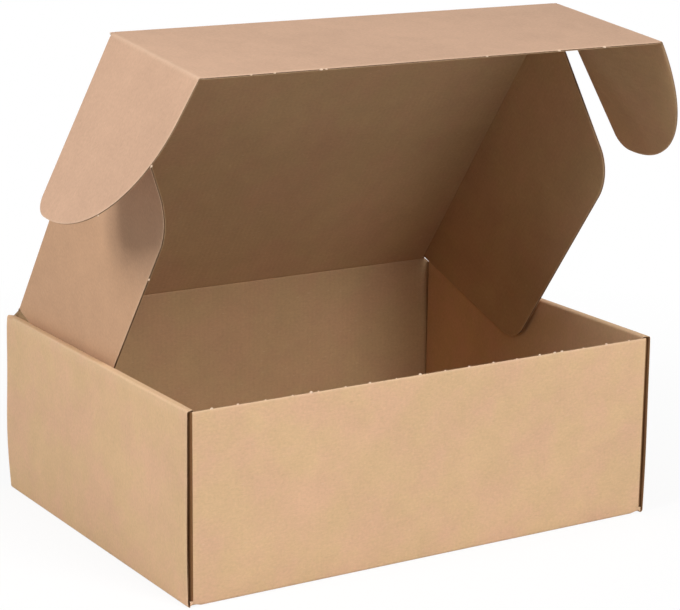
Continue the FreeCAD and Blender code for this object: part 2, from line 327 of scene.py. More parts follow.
# The groove's paper is darker than the liners: partly the middle paper's own browner tone, partly painted
# shade standing in for the deep, dark flute tunnels behind a cut edge.
middle_paper_and_flute_shade = kraft_material("kraft_middle_and_flute_shade", (0.24, 0.14, 0.07), (0.24, 0.135, 0.066),
                              (0.3, 0.18, 0.1), 0.40, 0.0, 0.4, 0.0)


# Tray sheet
# Floor, front wall and back wall are one strip of the blank, bent up at two scores. The
# floor is slotted for the side walls' locking tabs. Sizes are in millimetres.

board = 1.5
half_width = 152.5
half_depth = 113.5
front_height = 107.0
hinge_height = 109.8
lid_length = 225.0
tuck_length = 100.5
lid_rise = math.radians(54.0)
tuck_rise = math.radians(54.0 - 60.4)
wall_end = 149.2
floor_end = 150.9
tab_place = 59.0
tab_half = 13.0
mm = 0.001

# The die pinches a cut edge from the outer and the inner face; the middle paper lies back in
# a groove between the two liners.
liner = 0.18
pinch = (0.33, 0.33)
recess = 1.0


class Fold:
    """The line of a folded board seen from its edge: where a point lies that is s along the
    board's middle and n below its outer face."""

    def __init__(self, points, radii, side, crush=0.0):
        self.crush = crush
        self.runs = []
        self.bends = []
        points = [np.array(point, float) for point in points]
        steps = [b - a for a, b in zip(points, points[1:])]
        lengths = [np.linalg.norm(step) for step in steps]
        ways = [step / length for step, length in zip(steps, lengths)]
        start, s = points[0], 0.0
        for i, way in enumerate(ways):
            inward = side * np.array([-way[1], way[0]])
            if i < len(radii):
                after = ways[i + 1]
                turn = math.atan2(way[0] * after[1] - way[1] * after[0], way @ after)
                reach = radii[i] * math.tan(abs(turn) / 2)
            else:
                turn, reach = 0.0, 0.0
            corner = points[i + 1] - way * reach
            length = (corner - start) @ way
            self.runs.append(("run", s, s + length, start, way, inward))
            s += length
            if turn:
                towards = side if turn > 0 else -side
                centre = corner + inward * radii[i] * towards
                middle = radii[i] - board / 2 * towards
                bend_end = s + abs(turn) * middle
                self.runs.append(("bend", s, bend_end, centre, corner, (turn, radii[i], towards)))
                self.bends.append((s, bend_end))
                s = bend_end
                start = points[i + 1] + ways[i + 1] * reach
        self.end = s

    def at(self, s, n):
        """Near a bend the board is crushed thinner on its inside by the score."""
        s, n = np.broadcast_arrays(np.asarray(s, float), np.asarray(n, float))
        crush = np.zeros(s.shape)
        for low, high in self.bends:
            past = np.maximum(np.maximum(low - s, s - high), 0.0)
            crush = np.maximum(crush, self.crush * np.exp(-(past / 0.8) ** 2))
        n = n * (1 - crush * (n > 0.5))
        out = np.zeros(s.shape + (2,))
        for i, (kind, low, high, first, second, third) in enumerate(self.runs):
            mask = (s >= low if i else s > -1e9) & (s < high if i < len(self.runs) - 1 else s < 1e9)
            if kind == "run":
                out[mask] = first + (s[mask] - low)[:, None] * second + n[mask][:, None] * third
            else:
                turn, radius, towards = third
                angle = (s[mask] - low) / (high - low) * turn
                arm = (second - first) / radius
                reach = radius - n[mask] * towards
                cos, sin = np.cos(angle), np.sin(angle)
                out[mask] = first + np.stack([(arm[0] * cos - arm[1] * sin) * reach,
                                              (arm[0] * sin + arm[1] * cos) * reach], axis=-1)
        return out

    def rows(self, count=6):
        """Lines across the board where its bends need points."""
        found = []
        for low, high in self.bends:
            found += list(np.linspace(low, high, count + 1))
        return found


hinge = np.array([half_depth, hinge_height])
lid_way = np.array([-math.cos(lid_rise), math.sin(lid_rise)])
tuck_way = np.array([-math.cos(tuck_rise), math.sin(tuck_rise)])
tuck_hinge = hinge + lid_way * lid_length
strip = Fold([(-half_depth, front_height), (-half_depth, 0), (half_depth, 0), hinge, tuck_hinge,
              tuck_hinge + tuck_way * tuck_length], [1.6, 1.6, 2.0, 2.0], 1)
s_floor_front = sum(strip.bends[0]) / 2
s_floor_back = sum(strip.bends[1]) / 2
s_hinge = sum(strip.bends[2]) / 2
s_tuck = sum(strip.bends[3]) / 2


def place_strip(x, y, n):
    """The long strip of the blank: front wall, floor, back wall, lid and tuck flap."""
    yz = strip.at(y, n)
    return np.stack([x, yz[..., 0], yz[..., 1]], axis=-1)


def rounded(corners):
    """Corners (x, y, radius, cut) to points (x, y, cut); cut says that the next side is a cut edge."""
    points = []
    count = len(corners)
    for i, (x, y, radius, cut) in enumerate(corners):
        here = np.array([x, y], float)
        if not radius:
            points.append((x, y, cut))
            continue
        before = np.array(corners[i - 1][:2], float) - here
        after = np.array(corners[(i + 1) % count][:2], float) - here
        before /= np.linalg.norm(before)
        after /= np.linalg.norm(after)
        half = math.acos(np.clip(before @ after, -1, 1)) / 2
        middle = (before + after) / np.linalg.norm(before + after)
        centre = here + middle * radius / math.sin(half)
        first = here + before * radius / math.tan(half) - centre
        last = here + after * radius / math.tan(half) - centre
        sweep = math.atan2(first[0] * last[1] - first[1] * last[0], first @ last)
        parts = max(4, int(abs(sweep) * radius / 1.6))
        for k in range(parts + 1):
            cos, sin = math.cos(sweep * k / parts), math.sin(sweep * k / parts)
            point = centre + (first[0] * cos - first[1] * sin, first[0] * sin + first[1] * cos)
            points.append((point[0], point[1], cut if k == parts else True))
    return points


def divided(points, lines_x, lines_y):
    """Adds points where the sides cross the grid's lines, and every few millimetres on slants."""
    out = []
    count = len(points)
    for i, (x, y, cut) in enumerate(points):
        nx, ny, _ = points[(i + 1) % count]
        stops = {0.0}
        if abs(nx - x) > 0.01:
            stops |= {(line - x) / (nx - x) for line in lines_x}
        if abs(ny - y) > 0.01:
            stops |= {(line - y) / (ny - y) for line in lines_y}
        length = math.hypot(nx - x, ny - y)
        if abs(nx - x) > 0.01 and abs(ny - y) > 0.01:
            stops |= set(np.arange(1, int(length / 2.5)) / int(length / 2.5)) if length > 5 else set()
        last = -1.0
        for t in sorted(t for t in stops if -1e-9 <= t < 1 - 0.02 / length):
            if (t - last) * length > 0.02:
                out.append((x + (nx - x) * t, y + (ny - y) * t, cut))
                last = t
    return out


def inset(points, distance):
    """Moves a closed outline inwards by a distance at its cut sides and not at its folds."""
    xy = np.array([point[:2] for point in points])
    depths = np.array([point[2] for point in points], float) * distance
    ways = np.roll(xy, -1, 0) - xy
    ways /= np.linalg.norm(ways, axis=1)[:, None]
    normals = np.stack([-ways[:, 1], ways[:, 0]], axis=1)
    out = xy.copy()
    corners = []
    for i in range(len(xy)):
        first, second = normals[i - 1], normals[i]
        if first @ second < 0.9999999 or depths[i - 1] != depths[i]:
            corners.append(i)
        if first @ second > 0.999:
            out[i] += (first + second) / 2 * min(depths[i - 1], depths[i])
        else:
            out[i] += np.linalg.solve(np.array([first, second]), np.array([depths[i - 1], depths[i]]))
    for a, b in zip(corners, corners[1:] + corners[:1]):
        between = range(a + 1, b if b > a else b + len(xy))
        low, high = out[a] @ ways[a], out[b] @ ways[a]
        if low > high:
            low = high = (low + high) / 2
        for k in between:
            k %= len(xy)
            here = out[k] @ ways[a]
            out[k] += ways[a] * (min(max(here, low), high) - here)
    return out


def within(points, loops):
    """Which points lie inside the loops, by the even and odd rule."""
    inside = np.zeros(len(points), bool)
    for loop in loops:
        for a, b in zip(loop, np.roll(loop, -1, 0)):
            crosses = (a[1] > points[:, 1]) != (b[1] > points[:, 1])
            if crosses.any():
                slope = (b[0] - a[0]) / (b[1] - a[1]) if b[1] != a[1] else 0.0
                inside ^= crosses & (points[:, 0] < a[0] + slope * (points[:, 1] - a[1]))
    return inside


def grid_lines(low, high, step, extra):
    """Evenly spaced lines between two edges, less those that come close to an extra line."""
    lines = sorted(set(np.round(np.append(np.arange(math.ceil(low / step), high / step) * step, extra), 4)))
    kept = []
    for line in lines:
        if line in np.round(extra, 4) or all(abs(line - e) > 1.0 for e in extra):
            if low < line < high:
                kept.append(line)
    return kept


def as_cut(x, y):
    """The blank's own place of a point, for panels that are drawn where they lie on the blank."""
    return x, y


def add_piece(name, body, mesh, smooth_below, weld=False):
    """Turns the faces outwards and adds the mesh as a piece, smooth at edges under an angle."""
    work = bmesh.new()
    work.from_mesh(mesh)
    if weld:
        bmesh.ops.remove_doubles(work, verts=work.verts, dist=0.000004)
        bmesh.ops.dissolve_degenerate(work, edges=work.edges, dist=0.000002)
    bmesh.ops.recalc_face_normals(work, faces=work.faces)
    for face in work.faces:
        face.smooth = smooth_below > 0
    work.to_mesh(mesh)
    work.free()
    if smooth_below:
        mesh.set_sharp_from_angle(angle=math.radians(smooth_below))
    piece = bpy.data.objects.new(name, mesh)
    bpy.context.scene.collection.objects.link(piece)
    if body:
        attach(piece, body)
    return piece


cut_edges = []


def board_piece(name, body, loops, place, rows_x=(), rows_y=(), step=9.0, flat=as_cut, depth=recess,
                open_edge=True, lines=(), pinched=pinch):
    """A panel of board as a closed mesh: both liners, pinched together by the die at each cut
    edge, and between them a groove for the waved middle paper. The first loop is the outline,
    the others are holes. Lines (axis, where, width, strength) are pale lines along scores on
    the outer face: partly rubbed paper, partly a painted highlight of the bent crease.
    Its papers are the outer liner, the groove's and the inner liner, in that order. A crease
    between two panels has no open edge of its own, so it gets no waves."""
    corners = np.array([point[:2] for point in loops[0]])
    low, high = corners.min(0), corners.max(0)
    lines_x = grid_lines(low[0], high[0], step, rows_x)
    lines_y = grid_lines(low[1], high[1], step, rows_y)
    loops = [divided(loop, lines_x, lines_y) for loop in loops]
    wide = 1.6 if open_edge else 1.0
    over, under = pinched[0], board - pinched[1]
    upper_liner = [(wide, 0.0, 0.0), (0.5 * wide, 0.2 * over, 0.2), (0.18 * wide, 0.65 * over, 0.7),
                   (0.0, over, 1.0), (0.0, over + liner, 1.0)]
    groove = [(depth, over + liner, 0.0), (depth, under - liner, 0.0)]
    lower_liner = [(0.0, under - liner, 1.0), (0.0, under, 1.0),
                   (0.18 * wide, board - 0.65 * pinched[1], 0.7),
                   (0.5 * wide, board - 0.2 * pinched[1], 0.2), (wide, board, 0.0)]
    points, rims, faces, slots = [], [], [], []
    first_ring, last_ring = [], []
    for number, loop in enumerate(loops):
        rings = []
        for reach, depth_below, rim in upper_liner + groove + lower_liner:
            xy = inset(loop, reach if number == 0 else min(reach, 0.6))
            rings.append(range(len(points), len(points) + len(xy)))
            points += [(x, y, depth_below) for x, y in xy]
            rims += [rim] * len(xy)
        count = len(loop)
        for level, (upper, lower) in enumerate(zip(rings, rings[1:])):
            for i in range(count):
                j = (i + 1) % count
                faces.append((upper[i], lower[i], lower[j], upper[j]))
                slots.append(0 if level < 4 else 1 if level < 7 else 2)
        first_ring.append(rings[0])
        last_ring.append(rings[-1])
    ring_loops = [np.array([points[i][:2] for i in ring]) for ring in first_ring]
    columns, rows = np.meshgrid(lines_x, lines_y)
    grid = np.stack([columns.ravel(), rows.ravel()], axis=1)
    if len(grid):
        keep = within(grid, ring_loops)
        for loop in ring_loops:
            for a, b in zip(loop, np.roll(loop, -1, 0)):
                way = b - a
                length = np.linalg.norm(way)
                if length < 1e-6:
                    continue
                t = np.clip((grid - a) @ way / length ** 2, 0, 1)
                gap = np.linalg.norm(grid - a - t[:, None] * way, axis=1)
                slanted = min(abs(way)) > 0.01 * length
                keep &= gap > (1.0 if slanted else 0.05)
        grid = grid[keep]
    flat_points = [Vector(point) for loop in [*ring_loops, grid] for point in loop]
    sides, start = [], 0
    for loop in ring_loops:
        sides += [(start + i, start + (i + 1) % len(loop)) for i in range(len(loop))]
        start += len(loop)
    verts, _, triangles, origins, _, _ = delaunay_2d_cdt(flat_points, sides, [], 1, 1e-5)
    top, bottom = {}, {}
    ring_top = [i for ring in first_ring for i in ring]
    ring_bottom = [i for ring in last_ring for i in ring]
    for index, origin in enumerate(origins):
        source = origin[0] if origin else None
        if source is not None and source < start:
            top[index], bottom[index] = ring_top[source], ring_bottom[source]
        else:
            x, y = verts[index]
            top[index] = len(points)
            bottom[index] = len(points) + 1
            points += [(x, y, 0.0), (x, y, board)]
            rims += [0.0, 0.0]
    centres = np.array([np.mean([verts[i] for i in triangle], axis=0) for triangle in triangles])
    for triangle, inside in zip(triangles, within(centres, ring_loops)):
        if inside:
            faces.append(tuple(top[i] for i in triangle))
            faces.append(tuple(bottom[i] for i in reversed(triangle)))
            slots += [0, 2]
    points = np.array(points)
    placed = place(points[:, 0], points[:, 1], points[:, 2]) * mm
    flat_x, flat_y = flat(points[:, 0], points[:, 1])
    mesh = bpy.data.meshes.new(name)
    mesh.from_pydata(placed.tolist(), [], faces)
    for paper in (liner_paper, middle_paper_and_flute_shade, inner_paper):
        mesh.materials.append(paper)
    mesh.polygons.foreach_set("material_index", slots)
    spot = mesh.attributes.new("blank", "FLOAT_VECTOR", "POINT")
    spot.data.foreach_set("vector", (np.stack([flat_x, flat_y, points[:, 2]], axis=1) * mm).ravel())
    rims = np.array(rims)
    # Pale lines along scores on the outer face: partly rubbed paper, partly a painted highlight of the bent
    # crease.
    for axis, where, width, strength in lines:
        worn_and_highlit = strength * np.exp(-((points[:, axis] - where) / width) ** 2)
        rims = np.maximum(rims, np.where(points[:, 2] < 0.5, worn_and_highlit, 0.0))
    rim = mesh.attributes.new("rim", "FLOAT", "POINT")
    rim.data.foreach_set("value", rims)
    if open_edge:
        wave_height = (under - over) / 2 - liner - 0.07
        cut_edges.append((body, loops, place, flat, depth, (over + under) / 2, wave_height))
    return add_piece(name, body, mesh, 32, weld=True)


def slot_hole(side, y):
    """A slot in the floor for a locking tab, its loop turning the other way round."""
    left, right = sorted((side * 147.1, side * 149.3))
    front = s_floor_front + half_depth + y - tab_half - 0.5
    back = front + 2 * tab_half + 1.0
    return [(left, front, True), (left, back, True), (right, back, True), (right, front, True)]


relief_front = s_floor_front - 2.4
relief_back = s_floor_back + 2.4
top_of_back = s_hinge - 3.0
tray_outline = [
    (-wall_end, 0.0, True), (wall_end, 0.0, False), (wall_end, relief_front, True),
    (floor_end, relief_front, False), (floor_end, relief_back, True), (wall_end, relief_back, False),
    (wall_end, top_of_back, False), (-wall_end, top_of_back, False), (-wall_end, relief_back, True),
    (-floor_end, relief_back, False), (-floor_end, relief_front, True), (-wall_end, relief_front, False),
]
tray_holes = [slot_hole(side, y) for side in (-1, 1) for y in (-tab_place, tab_place)]
tray_rows = [row for row in strip.rows() if row < s_hinge - 10]
tray_sheet = board_piece("tray_sheet", "tray", [tray_outline] + tray_holes, place_strip, rows_y=tray_rows)
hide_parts("tray")


# Corner flaps
# The ends of the front and back walls, folded round the corners and trapped inside the
# double side walls. Their free ends are cut lower, to slide in under the rolled tops.

flap_reach = 62.0
flap_face = 150.8
corner_fold = Fold([(wall_end, half_depth), (flap_face, half_depth), (flap_face, half_depth - flap_reach)],
                   [1.6], -1)


def place_corner_flap(side, end):
    def place(x, y, n):
        xy = corner_fold.at(x - wall_end, n)
        return np.stack([side * xy[..., 0], end * xy[..., 1], strip.at(y, 0.0)[..., 1]], axis=-1)
    return place


def mirrored_blank(side):
    """The blank's own place of a point, for a panel drawn on the right and used on either side."""
    return lambda x, y: (side * x, y)


flap_clip = 5.0
flap_far = wall_end + corner_fold.end
front_top = 0.0
front_low = strip.bends[0][0] - 1.4
back_low = strip.bends[1][1] + 1.4
back_top = back_low + 103.1
corner_rows = [wall_end + row for row in corner_fold.rows()]
front_outline = [(wall_end, front_top, True), (wall_end + flap_clip, front_top, True),
                 (flap_far, front_top + flap_clip, True), (flap_far, front_low, True),
                 (wall_end, front_low, False)]
back_outline = [(wall_end, back_low, True), (flap_far, back_low, True),
                (flap_far, back_top - flap_clip, True), (wall_end + flap_clip, back_top, True),
                (wall_end, back_top, False)]
# Painted shade: the corner flaps' outer faces, seen only in the crevice at each front corner, get a dark
# brown that stands in for the deep shade there.
painted_shade_paper = kraft_material("kraft_painted_crevice_shade", (0.20, 0.095, 0.036), (0.20, 0.090, 0.038),
                              (0.2, 0.11, 0.06), 0.2, 0.0, 0.4, 0.0)
for side_name, side in (("left", -1), ("right", 1)):
    for end_name, end, outline in (("front", -1, front_outline), ("back", 1, back_outline)):
        flap = board_piece(f"{end_name}_{side_name}_corner_flap", "tray", [outline],
                           place_corner_flap(side, end), rows_x=corner_rows, flat=mirrored_blank(side))
        flap.data.materials[0] = painted_shade_paper


# Side walls
# Each goes up from the floor, rolls over the corner flaps and comes down again inside,
# where two tabs hook into the floor. The outer layer springs out a little between its folds.

wall_top = 108.0
inner_face = 147.6
side_fold = Fold([(floor_end, 0), (half_width, 0), (half_width, wall_top), (inner_face, wall_top),
                  (inner_face, 1.7)], [1.6, 1.35, 1.35], 1, 0.3)
floor_middle = (s_floor_front + s_floor_back) / 2


def place_side_wall(side):
    def place(x, y, n):
        s = x - floor_end
        xz = side_fold.at(s, n)
        across = y - floor_middle
        height = np.clip(xz[..., 1] / wall_top, 0, 1)
        spring = np.sin(math.pi * height) ** 0.7 * (0.5 + 0.2 * np.sin(2 * math.pi * height))
        spring = spring * (2.0 + across / half_depth)
        spring = np.where(s < side_fold.bends[1][0], spring, 0.0)
        return np.stack([side * (xz[..., 0] + spring), across, xz[..., 1]], axis=-1)
    return place


roll_start = floor_end + side_fold.bends[1][0]
roll_end = floor_end + side_fold.bends[2][1]
inner_end = floor_end + side_fold.end
tab_end = inner_end + 1.5
side_outline = [(floor_end, -half_depth, True), (roll_start + 0.8, -half_depth, True),
                (roll_end - 0.4, -112.2, True), (inner_end, -111.3, True)]
for tab in (-tab_place, tab_place):
    side_outline += [(inner_end, tab - tab_half, True), (tab_end, tab - tab_half, True),
                     (tab_end, tab + tab_half, True), (inner_end, tab + tab_half, True)]
side_outline += [(inner_end, 111.3, True), (roll_end - 0.4, 110.4, True),
                 (roll_start + 0.8, half_depth, True), (floor_end, half_depth, False)]
side_outline = [(x, y + floor_middle, cut) for x, y, cut in side_outline]
side_rows = [floor_end + row for row in side_fold.rows()]
# Pale lines along the roll's two bends: partly rubbed score, partly a painted highlight of the bends.
roll_lines = [(0, floor_end + sum(side_fold.bends[k]) / 2, 0.6, 0.7) for k in (1, 2)]
for side_name, side in (("left", -1), ("right", 1)):
    wall = board_piece(f"{side_name}_side_wall", "tray", [side_outline], place_side_wall(side),
                       rows_x=side_rows, flat=mirrored_blank(side), lines=roll_lines, depth=0.4,
                       pinched=(0.05, 0.65))
    # Painted shade: the walls' hidden inner-liner face, seen only at the pinched front edges and in the
    # corner crevices, gets the dark painted-shade brown.
    wall.data.materials[2] = painted_shade_paper


# Lid hinge
# The crease between back wall and lid: the board is crushed along a scored line, so the
# inside shows a shallow groove.

lid_half = 145.5


def place_crease(middle):
    def place(x, y, n):
        groove = 0.28 * np.exp(-((y - middle) / 0.8) ** 2)
        return place_strip(x, y, n * (1 - groove * (n / board)))
    return place


def blend_strip(piece, body_a, body_b, start, end):
    """Bakes the crease's placement into its mesh and leaves it on no body. The two bodies and the two places
    are not used.
    """
    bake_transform(piece)


lid_start = s_hinge + 2.0
mid_board = board / 2
hinge_outline = [
    (-wall_end, top_of_back, False), (wall_end, top_of_back, True), (lid_half + 0.4, s_hinge - 0.2, True),
    (lid_half, s_hinge - 0.1, True), (lid_half, lid_start, False), (-lid_half, lid_start, True),
    (-lid_half, s_hinge - 0.1, True), (-lid_half - 0.4, s_hinge - 0.2, True),
]
hinge_rows = strip.rows()[14:21] + [s_hinge - 1.5, s_hinge - 0.9, s_hinge + 0.9, s_hinge + 1.5]
lid_hinge = board_piece("lid_hinge", None, [hinge_outline], place_crease(s_hinge), rows_y=hinge_rows,
                        depth=0.5, open_edge=False)
blend_strip(lid_hinge, "tray", "lid", place_strip(0.0, s_hinge - 2.0, mid_board),
            place_strip(0.0, s_hinge + 1.6, mid_board))


# Lid
# The big top panel. It isn't quite flat: it dips a little between its folds.

lid_front = s_tuck - 2.0
dust_front = s_tuck - 5.0
lid_side = 142.0
lid_dip = 0.8


def place_lid(x, y, n):
    along = np.clip((y - lid_start) / (lid_front - lid_start), 0, 1)
    across = np.clip(1 - (x / lid_side) ** 2, 0, 1)
    sag = lid_dip * np.sin(math.pi * along) * across
    points = place_strip(x, y, n)
    points[..., 1] -= lid_way[1] * sag
    points[..., 2] += lid_way[0] * sag
    return points


lid_outline = [
    (-lid_side, lid_start, False), (lid_side, lid_start, False), (lid_side, dust_front, False),
    (lid_half, dust_front, True), (lid_half, lid_front, False), (-lid_half, lid_front, True),
    (-lid_half, dust_front, False), (-lid_side, dust_front, False),
]
lid_panel = board_piece("lid_panel", "lid", [lid_outline], place_lid, step=8.0)
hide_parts("lid")


# Dust flaps
# The side flaps of the lid, folded square to it and with cut-back rounded corners, so that
# they slip in beside the side walls.

dust_drop = 105.5
dust_rear_slant = math.tan(math.radians(17.5))
dust_front_slant = math.tan(math.radians(18.0))
dust_fold = Fold([(lid_side, 0), (lid_half, 0), (lid_half - 0.37, -dust_drop)], [1.4], -1, 0.25)
dust_root = lid_side + dust_fold.bends[0][1]
dust_cut = dust_root + 1.5
dust_tip = lid_side + dust_fold.end
u_zero = strip.bends[2][1] - 2.0 * math.tan(math.radians(18.0))
lid_inward = np.array([-lid_way[1], lid_way[0]])


def place_dust_flap(side, curl):
    def place(x, y, n):
        ab = dust_fold.at(x - lid_side, n)
        reach = np.clip((x - dust_cut) / (dust_tip - dust_cut), 0, 1)
        middle = (y - (lid_start + dust_front) / 2) / 100.0
        bend = curl * reach ** 2 * (1 - 0.6 * middle ** 2)
        yz = hinge + (y - u_zero)[..., None] * lid_way - ab[..., 1:2] * lid_inward
        return np.stack([side * (ab[..., 0] + bend), yz[..., 0], yz[..., 1]], axis=-1)
    return place


def dust_side(x):
    """The rear and front edges of the flap at x, measured down from the lid along the blank."""
    down = max(0.0, x - dust_root)
    return lid_start + down * dust_rear_slant, dust_front - down * dust_front_slant


cut_rear, cut_front = dust_side(dust_cut)
tip_rear, tip_front = dust_side(dust_tip)
dust_strip_outline = [
    (lid_side, lid_start, True), (dust_root, lid_start, True), (dust_cut, cut_rear, False),
    (dust_cut, cut_front, True), (dust_root, dust_front, True), (lid_side, dust_front, False),
]
dust_outline = rounded([
    (dust_cut, cut_rear, 0, True), (dust_tip, tip_rear, 19.0, True), (dust_tip, tip_front, 25.0, True),
    (dust_cut, cut_front, 0, False),
])
dust_rows = [lid_side + row for row in dust_fold.rows(7)]
for side_name, side, curl in (("left", -1, 0.1), ("right", 1, -0.4)):
    place = place_dust_flap(side, curl)
    dust_flap = board_piece(f"{side_name}_dust_flap_panel", f"{side_name}_dust_flap", [dust_outline], place,
                            flat=mirrored_blank(side), step=8.0, depth=0.7, pinched=(0.06, 0.25))
    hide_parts(f"{side_name}_dust_flap")
    crease = board_piece(f"{side_name}_dust_flap_fold", None, [dust_strip_outline], place, rows_x=dust_rows,
                         flat=mirrored_blank(side), depth=0.5, open_edge=False)
    ends = place(np.array([lid_side + 1.0, dust_cut - 1.0]), np.array([lid_start + 100.0] * 2), mid_board)
    blend_strip(crease, "lid", f"{side_name}_dust_flap", *ends)


# Tuck flap
# The front flap of the lid. Shut, it slides in behind the front wall. Its crease with the
# lid is like the lid's own hinge.

tuck_half = 147.2
tuck_start = s_tuck + 2.0
tuck_side = 144.8
tuck_crease_outline = [
    (-lid_half, lid_front, False), (lid_half, lid_front, True), (lid_half, s_tuck, True),
    (tuck_half, s_tuck, True), (tuck_half, tuck_start, False), (-tuck_half, tuck_start, True),
    (-tuck_half, s_tuck, True), (-lid_half, s_tuck, True),
]
tuck_rows = strip.rows()[21:28] + [s_tuck - 1.3, s_tuck + 1.3]
tuck_crease = board_piece("tuck_crease", None, [tuck_crease_outline], place_crease(s_tuck), rows_y=tuck_rows,
                          depth=0.5, open_edge=False)
blend_strip(tuck_crease, "lid", "tuck_flap", place_strip(0.0, s_tuck - 1.2, mid_board),
            place_strip(0.0, s_tuck + 1.2, mid_board))

tuck_end = strip.end
tuck_outline = [
    (-tuck_side, tuck_start, False), (tuck_side, tuck_start, False), (tuck_side, tuck_end, True),
    (-tuck_side, tuck_end, False),
]
tuck_panel = board_piece("tuck_panel", "tuck_flap", [tuck_outline], place_strip, step=8.0)
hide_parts("tuck_flap")


# Locking ears
# They fold down from the ends of the tuck flap and slide in beside the dust flaps. One
# corner is cut to a wide curve. They spring back a little from being folded square.

tuck_inward = np.array([-tuck_way[1], tuck_way[0]])
v_zero = strip.bends[3][1] - 2.0 * math.tan(math.radians(30.2))
ear_length = 101.5
ear_half = 147.3
ear_slant = math.tan(math.radians(7.5))
ear_root = 2.6
curve_height = 74.0
for side_name, side, fold_angle, curve_length in (("left", -1, 62.5, 78.0), ("right", 1, 60.5, 96.0)):
    fold = math.radians(fold_angle)
    ear_end = (ear_half + ear_length * math.cos(fold), -ear_length * math.sin(fold))
    ear_fold = Fold([(tuck_side, 0), (ear_half, 0), ear_end], [1.25], -1, 0.3)
    ear_cut = tuck_side + ear_fold.bends[0][1] + 1.5
    ear_tip = tuck_side + ear_fold.end
    shoulder = tuck_start + (ear_length - ear_root) * ear_slant
    start_slant = tuck_start + ear_root * ear_slant

    def place(x, y, n, side=side, ear_fold=ear_fold):
        ab = ear_fold.at(x - tuck_side, n)
        yz = tuck_hinge + (y - v_zero)[..., None] * tuck_way - ab[..., 1:2] * tuck_inward
        return np.stack([side * ab[..., 0], yz[..., 0], yz[..., 1]], axis=-1)

    wide_curve = [(ear_tip + curve_length * (math.cos(turn) - 1),
                   tuck_end + curve_height * (math.sin(turn) - 1), 0, True)
                  for turn in np.linspace(0, math.pi / 2, 61)]
    ear_outline = rounded([(ear_cut, start_slant, 0, True), (ear_tip, shoulder, 10.4, True), *wide_curve,
                           (ear_cut, tuck_end, 0, False)])
    ear_strip_outline = [
        (tuck_side, tuck_start, True), (ear_cut, start_slant, False), (ear_cut, tuck_end, True),
        (tuck_side, tuck_end, False),
    ]
    ear = board_piece(f"{side_name}_ear_panel", f"{side_name}_ear", [ear_outline], place,
                      flat=mirrored_blank(side), step=8.0, depth=0.4, pinched=(0.2, 0.5))
    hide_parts(f"{side_name}_ear")
    # The pale line along the ear's fold is partly rubbed score, partly a painted highlight of the bent
    # crease.
    crease = board_piece(f"{side_name}_ear_fold", None, [ear_strip_outline], place,
                         rows_x=[tuck_side + row for row in ear_fold.rows(7)], flat=mirrored_blank(side),
                         depth=0.5, open_edge=False,
                         lines=[(0, tuck_side + sum(ear_fold.bends[0]) / 2, 0.6, 0.8)])
    ends = place(np.array([tuck_side + 0.8, ear_cut - 0.8]), np.array([tuck_start + 50.0] * 2), mid_board)
    blend_strip(crease, "tuck_flap", f"{side_name}_ear", *ends)


# Fluting
# The waved middle paper, seen end-on in every cut edge between the two liners. It runs
# straight where the board is cut along its waves.

wave_paper = kraft_material("kraft_wave", (0.32, 0.19, 0.10), (0.32, 0.18, 0.10), (0.4, 0.27, 0.16),
                            0.3, 0.0, 0.3, 0.0)
waves = bpy.data.node_groups.new("middle_paper_waves", "GeometryNodeTree")
add_sockets(waves, "INPUT", "Geometry", "Geometry")
add_sockets(waves, "INPUT", "Float", "Step", "Pitch", "Height", "Middle", "Depth", "Thickness")
add_sockets(waves, "INPUT", "Material", "Material")
add_sockets(waves, "OUTPUT", "Geometry", "Geometry")
given = add_node(waves, "NodeGroupInput", (-1400, 0))
result = add_node(waves, "NodeGroupOutput", (1600, 0))
line = add_node(waves, "GeometryNodeMeshToCurve", (-1200, 200))
even = add_node(waves, "GeometryNodeResampleCurve", (-1000, 200), mode="LENGTH")
spot = add_node(waves, "GeometryNodeInputPosition", (-1400, -300))
split = add_node(waves, "ShaderNodeSeparateXYZ", (-1200, -300))
turns = add_node(waves, "ShaderNodeMath", (-1000, -300), operation="DIVIDE")
angle = add_node(waves, "ShaderNodeMath", (-800, -300), operation="MULTIPLY")
angle.inputs[1].default_value = 2 * math.pi
swing = add_node(waves, "ShaderNodeMath", (-600, -300), operation="SINE")
lift = add_node(waves, "ShaderNodeMath", (-400, -300), operation="MULTIPLY_ADD")
rise = add_node(waves, "ShaderNodeCombineXYZ", (-200, -300))
waved = add_node(waves, "GeometryNodeSetPosition", (0, 200))
edge = add_node(waves, "GeometryNodeCurveToMesh", (200, 200))
inward = add_node(waves, "GeometryNodeInputNamedAttribute", (0, -100), data_type="FLOAT_VECTOR")
inward.inputs["Name"].default_value = "inward"
ribbon = add_node(waves, "GeometryNodeExtrudeMesh", (400, 200), mode="EDGES")
thick = add_node(waves, "GeometryNodeExtrudeMesh", (600, 300), mode="FACES")
thick.inputs["Individual"].default_value = False
flipped = add_node(waves, "GeometryNodeFlipFaces", (600, 0))
joined = add_node(waves, "GeometryNodeJoinGeometry", (800, 200))
merged = add_node(waves, "GeometryNodeMergeByDistance", (1000, 200))
merged.inputs["Distance"].default_value = 0.004
real = add_node(waves, "GeometryNodeRealizeInstances", (1200, 200))
painted = add_node(waves, "GeometryNodeSetMaterial", (1400, 200))
